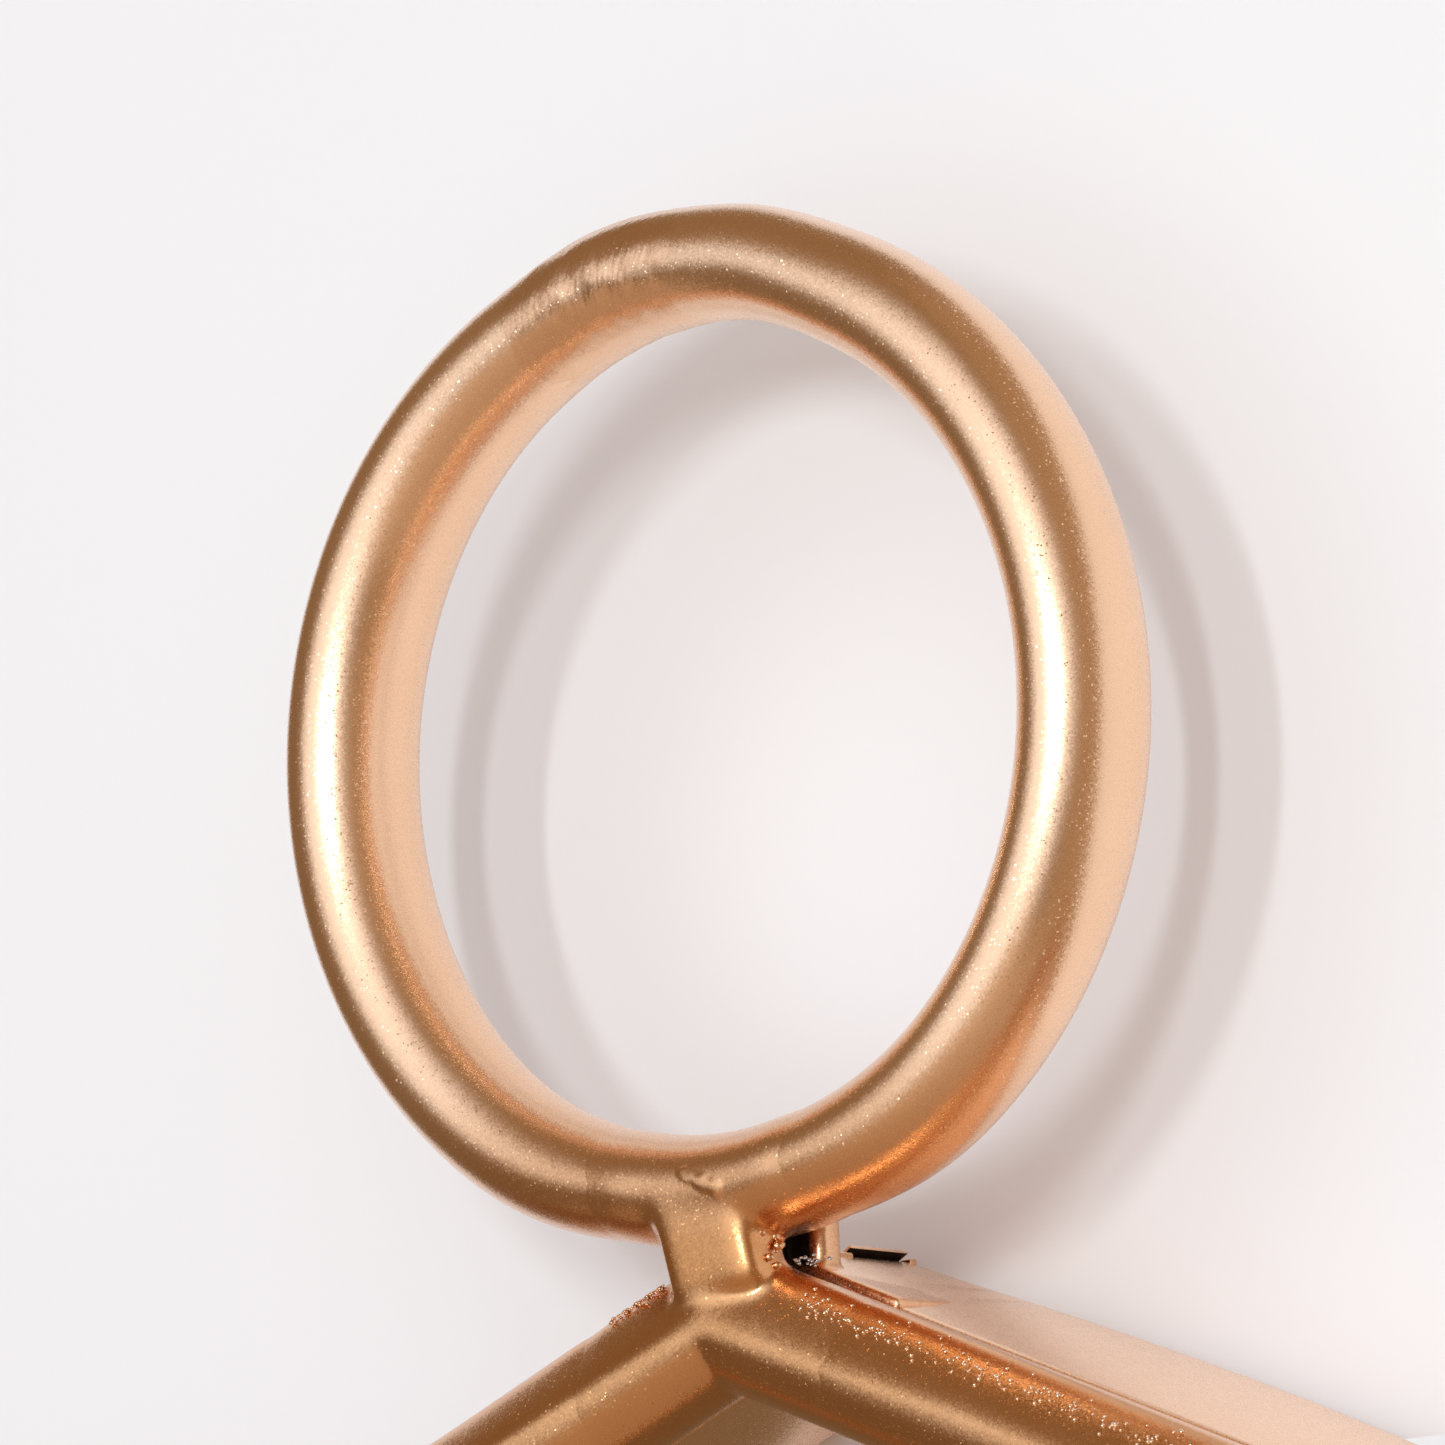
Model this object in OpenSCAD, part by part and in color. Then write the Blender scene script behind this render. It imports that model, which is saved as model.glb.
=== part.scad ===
// Wreath frame: an octagon of mitred tube with a corner at the top and a bent hanging ring on it.
// The front rim is round tube. The rear rim, on the wall side, is box tube set on edge behind it.
// Millimetres, +Z up, front towards -Y. The origin is the hang point: inside the ring, at its top.

/* [Front rim, round tube] */
// Outside diameter of the round tube
tube_d = 12; // [9:0.5:16]
// Wall of the round tube
tube_wall = 1; // [0.8:0.1:2]

/* [Rear rim, box tube] */
// Thickness of the box tube, in the plane of the octagon
box_t = 10; // [8:0.5:14]
// Depth of the box tube, from front to back
box_depth = 19; // [14:0.5:30]
// Wall of the box tube
box_wall = 1; // [0.8:0.1:2]
// Outside corner radius of the box tube
box_corner_r = 1; // [0.5:0.1:1.8]
// How far the rear rim stands out past the front rim, all round
rear_proud = 0.1; // [0:0.1:1.6]

/* [Octagon] */
// Width across opposite corners, between tube centres
across_corners = 440; // [300:5:600]

/* [Hanging ring] */
// Radius of the ring, to the middle of its tube
ring_r = 41; // [32:0.5:60]
// Thickness of the bent tube in the ring's plane
ring_radial = 10.2; // [8.6:0.1:11.4]
// Thickness of the bent tube from front to back
ring_axial = 13.8; // [12.4:0.1:16]
// Radius of the bent tube's front and back, where it is tightest
ring_end_r = 4.2; // [3.4:0.1:4.8]
// Wall of the bent tube
ring_wall = 1; // [0.8:0.1:2]
// How deep the ring's foot is coped to sit down on the top corner
ring_sink = 1.4; // [0.4:0.1:2]
// Place of the butt weld that closes the ring, in degrees from +X
ring_seam_angle = 102; // [45:1:135]

/* [Welds] */
// Gap left at every butt joint, which the weld fills
root_gap = 0.8; // [0.4:0.1:1.6]
// Height of a weld's crown over the tube
weld_crown = 0.2; // [0.1:0.05:0.5]
// Width of the front weld under the ring
front_weld_w = 10.4; // [8:0.1:12]
// Depth of the front weld, from its face to its root under the ring
front_weld_d = 6.5; // [5.5:0.1:8]
// Radius of the front weld's upright edges
front_weld_edge_r = 2.4; // [1.5:0.1:2.7]
// How far the top of the front weld's face stands out past the ring's front
front_weld_proud = 0.5; // [0.2:0.1:0.8]
// How far the front weld laps up over the ring's foot
front_weld_lap = 0.8; // [0.4:0.1:1.5]
// Lean of the front weld's face, back from the ring to the top corner, in degrees
front_weld_lean = 18; // [10:1:24]
// Radius of the bead behind the ring
rear_weld_r = 2.2; // [1.6:0.1:3]
// Length of the bead behind the ring, without its round ends
rear_weld_len = 5.4; // [3:0.2:8]
// Radius of the stitch beads between the two rims
stitch_r = 1.6; // [1.2:0.1:2]
// Length of a stitch bead, without its round ends
stitch_len = 13; // [6:1:20]
// Distance from a corner to the middle of the nearest stitch bead
stitch_from_corner = 19; // [14:1:30]
// Length of the open seam left at the back of the top corner
open_seam = 8; // [4:0.5:10]
// Length of the tack that closes that seam at the wall side
back_tack = 1; // [0.6:0.1:2]

/* [Hidden] */
$fn = 192;
gold = "#c8965e";
weld_gold = "#b98650";

// Clearance at which touching round and flat faces are set
seat_gap = 0.05;
// How deep a bead sinks into what it joins, as a share of its radius
bead_seat = 0.6;
// End arc of a mitred round tube, as a share of the tube's radius
mitre_end = 0.95;

// The octagon, with a corner at the top
SIDES = ["top_right", "upper_right", "lower_right", "bottom_right",
         "bottom_left", "lower_left", "upper_left", "top_left"];
side_count = len(SIDES);
half_turn = 180 / side_count;
corner_r = across_corners / 2;
apothem = corner_r * cos(half_turn);
half_side = corner_r * sin(half_turn);
tube_r = tube_d / 2;

// Box tube behind the round tube, in a side's own frame: x outwards from the tube, y to the back
box_front = tube_r + seat_gap;
box_back = box_front + box_depth;
box_out = tube_r + rear_proud;
box_mid = box_out - box_t / 2;
box_bore_r = max(box_corner_r - box_wall, 0.3);

// Middle of the arc that rounds the ring section, in front of the ring's plane and behind it
ring_end_y = ring_axial / 2 - ring_end_r;

// Heights, down from the hang point
ring_z = ring_radial / 2 - ring_r;
ring_foot_z = ring_z - ring_r;
ring_bottom_z = ring_foot_z - ring_radial / 2;
apex_z = ring_bottom_z + ring_sink - (tube_r + weld_crown) / cos(half_turn);
frame_z = apex_z - corner_r;
box_ridge_z = apex_z + box_out / cos(half_turn);

// The bead behind the ring seats on the ring's back and on the ridge of the rear rim
rear_weld_z = box_ridge_z + bead_seat * rear_weld_r;
rear_weld_reach = ring_end_r + bead_seat * rear_weld_r;
rear_weld_drop = ring_foot_z - rear_weld_z;
rear_weld_y = ring_end_y + sqrt(pow(rear_weld_reach, 2) - pow(rear_weld_drop, 2));

// The front weld fills the notch between the ring's foot and the top corner
front_weld_y = -ring_axial / 2 - front_weld_proud;
front_weld_z = ring_foot_z + front_weld_lap;
front_weld_h = (front_weld_z - apex_z) / cos(front_weld_lean);

// A stitch bead seats on the round tube and on the flat front of the box tube
stitch_y = box_front - bead_seat * stitch_r;
stitch_x = sqrt(pow(tube_r + bead_seat * stitch_r, 2) - pow(stitch_y, 2));

FRONT_TUBES = [for (s = SIDES) str("front_tube_", s)];
REAR_BARS = [for (s = SIDES) str("rear_bar_", s)];

// Angle of a side's outward normal, from +X, clockwise from the top corner
function side_angle(k) = 90 - half_turn - 2 * half_turn * k;

// Frame of one side: +X outwards, +Y to the back, +Z along the side, towards the corner before it
module at_side(k) {
    translate([0, 0, frame_z]) rotate([0, -side_angle(k), 0]) translate([apothem, 0, 0]) children();
}

// Frame of the corner before side k: +X outwards, +Y to the back, +Z across the mitre
module at_corner(k) {
    translate([0, 0, frame_z]) rotate([0, -side_angle(k) - half_turn, 0]) children();
}

// Oval of four arcs, long in y, grown or shrunk all round: tight at its ends, flatter on its sides
module oval(short, long, end_r, grow = 0) {
    end_c = long / 2 - end_r;
    inset = short / 2 - end_r;
    side_c = (end_c * end_c - inset * inset) / (2 * inset);
    side_r = short / 2 + side_c;
    blend_y = (side_r + grow) * end_c / (side_r - end_r);
    intersection() {
        translate([-side_c, 0]) circle(r = side_r + grow);
        translate([side_c, 0]) circle(r = side_r + grow);
        square([2 * long, 2 * blend_y], center = true);
    }
    for (s = [-1, 1]) translate([0, s * end_c]) circle(r = end_r + grow);
}

// The ring as if it were one closed, solid hoop
module hoop(grow = 0) {
    translate([0, 0, ring_z]) rotate([90, 0, 0])
        rotate_extrude() translate([ring_r, 0]) oval(ring_radial, ring_axial, ring_end_r, grow);
}

// The gap between the two ends of the bent tube
module ring_gap() {
    translate([0, 0, ring_z]) rotate([0, -ring_seam_angle, 0])
        translate([ring_r, 0, 0]) cube([2 * ring_radial, 2 * ring_axial, root_gap], center = true);
}

// Rectangle with round corners
module round_rect(w, d, r) {
    square([w - 2 * r, d], center = true);
    square([w, d - 2 * r], center = true);
    for (sx = [-1, 1], sy = [-1, 1])
        translate([sx * (w / 2 - r), sy * (d / 2 - r)]) circle(r = r);
}

// Round tube of one side, long enough to pass both corners
module round_stock(r) {
    cylinder(r = r, h = 2 * half_side + 4 * tube_d, center = true);
}

// Box tube of one side, long enough to pass both corners
module box_stock() {
    translate([box_mid, box_front + box_depth / 2, 0])
        linear_extrude(height = 2 * half_side + 4 * box_depth, center = true)
            round_rect(box_t, box_depth, box_corner_r);
}

// Bore of the box tube
module box_bore() {
    translate([box_mid, box_front + box_depth / 2, 0])
        linear_extrude(height = 2 * half_side + 6 * box_depth, center = true)
            round_rect(box_t - 2 * box_wall, box_depth - 2 * box_wall, box_bore_r);
}

// Slab with an outline in the plane of the octagon, deep enough for both rims
module deep(depth = 4 * (tube_d + box_depth)) {
    rotate([90, 0, 0]) linear_extrude(height = depth, center = true) children();
}

// What the two mitre cuts leave of a side, each half a root gap short of its corner
module mitred() {
    tip = root_gap / 2 / sin(half_turn) - apothem;
    far = 3 * tube_d;
    spread = (far - tip) * tan(half_turn);
    deep() polygon([[tip, 0], [far, spread], [far, -spread]]);
}

module front_tube(k) {
    color(gold) at_side(k) intersection() {
        difference() {
            round_stock(tube_r);
            cylinder(r = tube_r - tube_wall, h = 2 * half_side + 6 * tube_d, center = true);
        }
        mitred();
    }
}

module rear_bar(k) {
    color(gold) at_side(k) intersection() {
        difference() {
            box_stock();
            box_bore();
        }
        mitred();
    }
}

module hanging_ring() {
    color(gold) difference() {
        hoop();
        hoop(-ring_wall);
        ring_gap();
        top_corner_solid();
    }
}

module ring_seam_weld() {
    color(weld_gold) intersection() {
        difference() {
            hoop(weld_crown);
            hoop(-ring_wall);
        }
        ring_gap();
    }
}

// Bead along z, with round ends
module bead(r, length) {
    cylinder(r = r, h = length, center = true);
    for (s = [-1, 1]) translate([0, 0, s * length / 2]) sphere(r = r);
}

// The two sides that meet at the top corner and the front weld in their mitre, solid
module top_corner_solid() {
    for (k = [0, side_count - 1]) at_side(k) intersection() {
        union() {
            round_stock(tube_r);
            box_stock();
        }
        mitred();
    }
    front_gap(0) front_weld_outline();
}

module ring_front_weld() {
    color(weld_gold) difference() {
        translate([0, front_weld_y, front_weld_z]) rotate([front_weld_lean, 0, 0])
            translate([0, front_weld_d / 2, -front_weld_h]) linear_extrude(height = front_weld_h)
                round_rect(front_weld_w, front_weld_d, front_weld_edge_r);
        hoop();
        top_corner_solid();
    }
}

module ring_rear_weld() {
    color(weld_gold) difference() {
        translate([0, rear_weld_y, rear_weld_z]) rotate([0, 90, 0]) bead(rear_weld_r, rear_weld_len);
        hoop();
        top_corner_solid();
        rear_corner_weld(0);
    }
}

// Round tube of one radius, cut along the mitre: close to an ellipse, long towards the corner
module mitre_oval(r) {
    rotate(90) oval(2 * r, 2 * r / cos(half_turn), mitre_end * r);
}

// Outline of the front rim's mitre weld, out to its crown and flat against the rear rim
module front_weld_outline() {
    reach = 4 * tube_d;
    intersection() {
        mitre_oval(tube_r + weld_crown);
        translate([-reach / 2, box_front - reach]) square(reach);
    }
}

// Root gap of the front rim at the corner before side k, filled with an outline
module front_gap(k) {
    at_corner(k) translate([corner_r, 0, 0]) linear_extrude(height = root_gap, center = true) children();
}

// Weld round the mitre of the front rim, at the corner before side k
module front_corner_weld(k) {
    front_gap(k) difference() {
        front_weld_outline();
        mitre_oval(tube_r - tube_wall);
    }
}

// Weld round the mitre of the rear rim, at the corner before side k
module rear_corner_weld(k) {
    stretch = 1 / cos(half_turn);
    at_corner(k) translate([(apothem + box_mid) * stretch, box_front + box_depth / 2, 0])
        linear_extrude(height = root_gap, center = true) difference() {
            round_rect((box_t + 2 * weld_crown) * stretch, box_depth, box_corner_r);
            round_rect((box_t - 2 * box_wall) * stretch, box_depth - 2 * box_wall, box_bore_r);
        }
}

module front_corner_welds() {
    color(weld_gold) for (k = [0:side_count - 1]) front_corner_weld(k);
}

module rear_corner_welds() {
    seam_front = box_back - back_tack - open_seam;
    color(weld_gold) difference() {
        for (k = [0:side_count - 1]) rear_corner_weld(k);
        translate([-tube_d, seam_front, apex_z - 2 * tube_d])
            cube([2 * tube_d, open_seam, 4 * tube_d]);
    }
}

module rim_stitch_welds() {
    color(weld_gold) for (k = [0:side_count - 1], end = [-1, 1]) at_side(k) difference() {
        translate([stitch_x, stitch_y, end * (half_side - stitch_from_corner)]) bead(stitch_r, stitch_len);
        round_stock(tube_r);
        box_stock();
    }
}

hanging_ring();
ring_seam_weld();
ring_front_weld();
ring_rear_weld();
for (k = [0:side_count - 1]) front_tube(k);
for (k = [0:side_count - 1]) rear_bar(k);
front_corner_welds();
rear_corner_welds();
rim_stitch_welds();
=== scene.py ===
"""Looks of the wreath frame: gold-painted tube, its welds, and the white wall that it hangs on."""

import math
import random

import bpy
from mathutils import Matrix, Vector, noise


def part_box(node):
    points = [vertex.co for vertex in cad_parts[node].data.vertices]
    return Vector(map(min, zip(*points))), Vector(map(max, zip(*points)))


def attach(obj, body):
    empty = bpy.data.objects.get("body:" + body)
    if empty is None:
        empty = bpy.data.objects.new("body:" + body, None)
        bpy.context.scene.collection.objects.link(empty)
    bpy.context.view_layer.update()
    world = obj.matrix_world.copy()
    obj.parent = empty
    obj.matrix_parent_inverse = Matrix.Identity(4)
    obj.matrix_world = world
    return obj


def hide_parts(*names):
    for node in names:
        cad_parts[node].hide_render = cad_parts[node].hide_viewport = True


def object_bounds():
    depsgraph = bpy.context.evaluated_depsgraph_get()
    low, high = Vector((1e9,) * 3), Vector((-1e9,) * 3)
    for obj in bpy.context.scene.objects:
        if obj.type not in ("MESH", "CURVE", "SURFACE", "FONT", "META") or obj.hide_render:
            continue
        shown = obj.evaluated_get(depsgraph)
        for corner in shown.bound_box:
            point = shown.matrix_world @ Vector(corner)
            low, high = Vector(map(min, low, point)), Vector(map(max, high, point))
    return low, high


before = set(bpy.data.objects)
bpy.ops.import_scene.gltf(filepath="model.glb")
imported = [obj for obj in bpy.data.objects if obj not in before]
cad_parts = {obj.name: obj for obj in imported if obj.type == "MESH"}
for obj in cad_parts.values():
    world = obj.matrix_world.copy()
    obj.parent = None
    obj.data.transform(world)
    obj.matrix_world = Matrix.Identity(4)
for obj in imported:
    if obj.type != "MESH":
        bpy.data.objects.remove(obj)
cad_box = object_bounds()
random.seed(7)

MM = 0.001

# Sizes that the frame gives
ring_low, ring_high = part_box("hanging_ring")
tube_low, tube_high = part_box("front_tube_top_right")
bar_low, bar_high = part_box("rear_bar_top_right")
corner_low, corner_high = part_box("front_corner_welds")
web_low, web_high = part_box("ring_rear_weld")

# Sizes of the tubes and welds, as they are built
bar_thickness = 10 * MM
bar_proud = 0.1 * MM
bar_corner_r = 1.0 * MM
bar_wall = 1.0 * MM
root_gap = 0.8 * MM
weld_crown = 0.2 * MM

# Octagon with a corner at the top
SIDES = ["top_right", "upper_right", "lower_right", "bottom_right",
         "bottom_left", "lower_left", "upper_left", "top_left"]
half_turn = math.pi / len(SIDES)
tube_r = (tube_high.y - tube_low.y) / 2
frame_z = (corner_low.z + corner_high.z) / 2
corner_r = corner_high.z - frame_z - (tube_r + weld_crown) / math.cos(half_turn)
apothem = corner_r * math.cos(half_turn)
half_side = corner_r * math.sin(half_turn)
apex_z = frame_z + corner_r

# The top corner, and the direction of the top right side from it
apex = Vector((0, 0, apex_z))
side_run = Vector((math.cos(half_turn), 0, -math.sin(half_turn)))

# Box tube of the rear rim
bar_depth = bar_high.y - bar_low.y
bar_out = tube_r + bar_proud
bar_mid = bar_out - bar_thickness / 2
ridge_z = apex_z + bar_out / math.cos(half_turn)

# Bent ring, with the hang point on its inside, at its top
ring_z = (ring_low.z + ring_high.z) / 2
ring_outer = (ring_high.z - ring_low.z) / 2
ring_inner = -ring_z
ring_r = (ring_outer + ring_inner) / 2
ring_radial = ring_outer - ring_inner
ring_axial = ring_high.y - ring_low.y
ring_foot_z = ring_z - ring_r

# Points closer than this are one
merge_distance = 0.001 * MM

# How finely round things are drawn
TUBE_SIDES = 128
RING_SIDES = 96
RING_STEPS = 360


# Working with meshes

def deselect_all():
    bpy.ops.object.select_all(action="DESELECT")


def select_vertices(piece, test):
    """Selects the vertices whose place passes the test, and stays in edit mode."""
    bpy.ops.object.mode_set(mode="EDIT")
    bpy.ops.mesh.select_mode(type="VERT")
    bpy.ops.mesh.select_all(action="DESELECT")
    bpy.ops.object.mode_set(mode="OBJECT")
    for vertex in piece.data.vertices:
        vertex.select = bool(test(vertex.co))
    bpy.ops.object.mode_set(mode="EDIT")


def apply_modifier(piece, kind, **settings):
    """Adds a modifier to the piece and applies it."""
    bpy.context.view_layer.objects.active = piece
    modifier = piece.modifiers.new(kind.title(), kind)
    for key, value in settings.items():
        setattr(modifier, key, value)
    bpy.ops.object.modifier_apply(modifier=modifier.name)


def settle():
    """Puts the active piece's place, turn and size into its mesh."""
    bpy.ops.object.transform_apply(location=True, rotation=True, scale=True)


def smooth(piece, degrees=40):
    """Shades the piece smooth, apart from edges sharper than an angle."""
    deselect_all()
    piece.select_set(True)
    bpy.context.view_layer.objects.active = piece
    bpy.ops.object.shade_smooth_by_angle(angle=math.radians(degrees))


def moved_copy(piece, matrix):
    """A copy of the piece with its own mesh, moved by a matrix."""
    copy = piece.copy()
    copy.data = piece.data.copy()
    copy.data.transform(matrix)
    bpy.context.collection.objects.link(copy)
    return copy


def join(pieces):
    """Makes the pieces one object, the first of them."""
    deselect_all()
    for piece in pieces:
        piece.select_set(True)
    bpy.context.view_layer.objects.active = pieces[0]
    bpy.ops.object.join()
    return pieces[0]


def close_ends(piece):
    """Fills the open ends of the piece, and turns its faces outwards."""
    bpy.context.view_layer.objects.active = piece
    bpy.ops.object.mode_set(mode="EDIT")
    bpy.ops.mesh.select_all(action="SELECT")
    bpy.ops.mesh.remove_doubles(threshold=merge_distance)
    bpy.ops.mesh.fill_holes(sides=0)
    bpy.ops.mesh.select_all(action="SELECT")
    bpy.ops.mesh.normals_make_consistent(inside=False)
    bpy.ops.object.mode_set(mode="OBJECT")


def slice_up(piece, origin, axis, places):
    """Cuts the piece across at places along an axis, so that it can be bent there."""
    bpy.context.view_layer.objects.active = piece
    bpy.ops.object.mode_set(mode="EDIT")
    for place in places:
        bpy.ops.mesh.select_all(action="SELECT")
        bpy.ops.mesh.bisect(plane_co=origin + axis * place, plane_no=axis)
    bpy.ops.object.mode_set(mode="OBJECT")


def halved(piece):
    """Cuts the piece at the top corner's mitre, keeps its right half and mirrors it."""
    bpy.context.view_layer.objects.active = piece
    bpy.ops.object.mode_set(mode="EDIT")
    bpy.ops.mesh.select_all(action="SELECT")
    bpy.ops.mesh.bisect(plane_co=apex, plane_no=(1, 0, 0), clear_inner=True)
    bpy.ops.object.mode_set(mode="OBJECT")
    apply_modifier(piece, "MIRROR", merge_threshold=merge_distance)
    return piece


def block(size, round_r, matrix):
    """A block with all its edges rounded, moved by a matrix."""
    deselect_all()
    bpy.ops.mesh.primitive_cube_add(size=1)
    piece = bpy.context.object
    piece.scale = size
    settle()
    bpy.ops.object.mode_set(mode="EDIT")
    bpy.ops.mesh.select_all(action="SELECT")
    bpy.ops.mesh.bevel(offset=round_r, segments=5, affect="EDGES")
    bpy.ops.object.mode_set(mode="OBJECT")
    piece.data.transform(matrix)
    return piece


def fuse(pieces, voxel, rounds):
    """Melts pieces into one skin, as weld metal flows, and rounds off its edges and hollows."""
    piece = join(pieces)
    apply_modifier(piece, "REMESH", mode="VOXEL", voxel_size=voxel)
    apply_modifier(piece, "SMOOTH", factor=0.5, iterations=rounds)
    return piece


def melt(piece, middle, inner, outer, rounds):
    """Rounds the piece off further about a place: fully within inner, and not beyond outer."""
    group = piece.vertex_groups.new(name="melt")
    for vertex in piece.data.vertices:
        group.add([vertex.index], 1 - ramp((vertex.co - middle).length, inner, outer), "REPLACE")
    apply_modifier(piece, "SMOOTH", factor=0.5, iterations=rounds, vertex_group=group.name)
    piece.vertex_groups.clear()


def swell(piece, height):
    """Moves every point of the piece along its normal by a height that depends on its place."""
    moves = [vertex.normal * height(vertex.co) for vertex in piece.data.vertices]
    for vertex, move in zip(piece.data.vertices, moves):
        vertex.co += move


def ramp(value, low, high):
    """Rises smoothly from 0 at low to 1 at high."""
    share = min(max((value - low) / (high - low), 0), 1)
    return share * share * (3 - 2 * share)


def around_frame(turns):
    """Turns the octagon about its middle by a number of sides, clockwise seen from the front."""
    middle = Matrix.Translation((0, 0, frame_z))
    return middle @ Matrix.Rotation(2 * half_turn * turns, 4, "Y") @ middle.inverted()


def dress(piece, name, material, slot, *nodes):
    """Names a finished piece, gives it its finish and puts it on the frame in place of its nodes."""
    piece.name = name
    piece.data.name = name
    if not piece.data.materials:
        piece.data.materials.append(material)
    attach(piece, "root")
    if nodes:
        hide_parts(*nodes)


# Finishes

def linear(colour):
    """Linear RGBA of an sRGB hex colour."""
    channels = [int(colour[i:i + 2], 16) / 255 for i in (1, 3, 5)]
    return [c / 12.92 if c <= 0.04045 else ((c + 0.055) / 1.055) ** 2.4 for c in channels] + [1]


def add_node(tree, kind, inputs=None, **settings):
    """Adds a node with its settings. An input is a value, or the output that feeds it."""
    made = tree.nodes.new(kind)
    for key, value in settings.items():
        setattr(made, key, value)
    for key, value in (inputs or {}).items():
        if isinstance(value, bpy.types.NodeSocket):
            tree.links.new(value, made.inputs[key])
        else:
            made.inputs[key].default_value = value
    return made


def new_material(name):
    """A material with its nodes and its one shader."""
    material = bpy.data.materials.new(name)
    material.use_nodes = True
    tree = material.node_tree
    return material, tree, tree.nodes["Principled BSDF"]


# Thicker and thinner film changes over this length
film_patch = 9 * MM
# Flakes are really some 0.04 mm, and drawn larger so that their glitter shows
flake_size = 0.14 * MM
# How far flakes lie askew, most of them and the steep ones, and the draw above which one is steep
flake_tilt = (0.08, 0.5)
steep_draw = (0.86, 0.90)
binder_rough = 0.25


def gold_paint(name, tones, lump_size, lump_depth, rough=(0.23, 0.33), binder=0.6, turns=None):
    """Sprayed metallic gold paint. Its flakes lie nearly flat in the film, so it mirrors the room
    as a satin metal does, with a glitter of flakes that lie a little askew and the slow waves of a
    sprayed coat. Tones are pairs, deep and pale. A second pair takes over between two heights."""
    material, tree, shader = new_material(name)
    place = add_node(tree, "ShaderNodeTexCoord").outputs["Object"]

    film = add_node(tree, "ShaderNodeTexNoise", {
        "Vector": place, "Scale": 1 / film_patch, "Detail": 3,
    })
    coats = [add_node(tree, "ShaderNodeMix", {
        "Factor": film.outputs["Fac"], "A": linear(deep), "B": linear(pale),
    }, data_type="RGBA").outputs["Result"] for deep, pale in tones]
    tone = coats[0]
    if turns:
        height = add_node(tree, "ShaderNodeSeparateXYZ", {0: place}).outputs["Z"]
        share = add_node(tree, "ShaderNodeMapRange", {
            "Value": height, "From Min": turns[0], "From Max": turns[1],
        })
        tone = add_node(tree, "ShaderNodeMix", {
            "Factor": share.outputs["Result"], "A": coats[0], "B": coats[1],
        }, data_type="RGBA").outputs["Result"]
    tree.links.new(tone, shader.inputs["Base Color"])

    flakes = add_node(tree, "ShaderNodeTexVoronoi", {"Vector": place, "Scale": 1 / flake_size})
    satin = add_node(tree, "ShaderNodeMapRange", {
        "Value": flakes.outputs["Color"], "To Min": rough[0], "To Max": rough[1],
    })
    tree.links.new(satin.outputs["Result"], shader.inputs["Roughness"])

    # Waves of the film, and on them each flake's own tilt: a few stand steep and sparkle
    lumps = add_node(tree, "ShaderNodeTexNoise", {
        "Vector": place, "Scale": 1 / lump_size, "Detail": 2,
    })
    waves = add_node(tree, "ShaderNodeBump", {
        "Height": lumps.outputs["Fac"], "Distance": lump_depth,
    })
    askew = add_node(tree, "ShaderNodeVectorMath", {
        0: flakes.outputs["Color"], 1: (0.5, 0.5, 0.5),
    }, operation="SUBTRACT")
    steep = add_node(tree, "ShaderNodeMapRange", {
        "Value": flakes.outputs["Color"], "From Min": steep_draw[0], "From Max": steep_draw[1],
        "To Min": flake_tilt[0], "To Max": flake_tilt[1],
    })
    tilt = add_node(tree, "ShaderNodeVectorMath", {
        0: askew.outputs[0], 1: steep.outputs["Result"], 2: waves.outputs["Normal"],
    }, operation="MULTIPLY_ADD")
    facing_out = add_node(tree, "ShaderNodeVectorMath", {0: tilt.outputs[0]}, operation="NORMALIZE")
    tree.links.new(facing_out.outputs[0], shader.inputs["Normal"])
    shader.inputs["Metallic"].default_value = 1
    # Clear binder over the flakes, which pales the paint where it is seen edge-on
    shader.inputs["Coat Weight"].default_value = binder
    shader.inputs["Coat Roughness"].default_value = binder_rough
    return material


thin_coat = ("#F7CBA5", "#FCD3AF")
paint = gold_paint("sprayed_gold_paint", [thin_coat], 3 * MM, 0.01 * MM)
# Painted shade: a darker, deeper copy of the paint for the front tubes, their corners, the tube
# faces of the front weld and the paint in the grooves, standing in for the darker reflections that
# fall on them
rim_paint_darkened_for_shade = gold_paint("sprayed_gold_paint_darkened_for_shade", [("#DCA26C", "#E7B181")], 4 * MM, 0.03 * MM,
                       rough=(0.2, 0.29), binder=0.3)
weld_paint = gold_paint("gold_paint_over_weld", [("#E3AE80", "#F0C096")], 1.3 * MM, 0.05 * MM)
# Painted highlight: the spatter's paint is paler than the rest, so that the drops glint brighter
spatter_paint_painted_bright = gold_paint("gold_paint_on_spatter", [("#F9DCC0", "#FDE6CF")], 1.3 * MM, 0.02 * MM,
                           rough=(0.12, 0.2))
seam_paint = gold_paint("gold_paint_over_ground_seam", [("#EDBE95", "#FBD0AB")],
                        1.6 * MM, 0.03 * MM)
# Painted shade: the ring's foot takes darker tones, like the darkened paint of the tubes that it
# meets at the front weld, and the thin coat higher up
ring_paint_shaded_foot = gold_paint("sprayed_gold_paint_on_ring", [("#D8985C", "#E2A670"), thin_coat],
                        3 * MM, 0.01 * MM, turns=(ring_foot_z - 4 * MM, ring_foot_z + 12 * MM))


scale_patch = 2 * MM
scale_depth = 0.04 * MM
bloom_patch = 0.3 * MM


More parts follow.
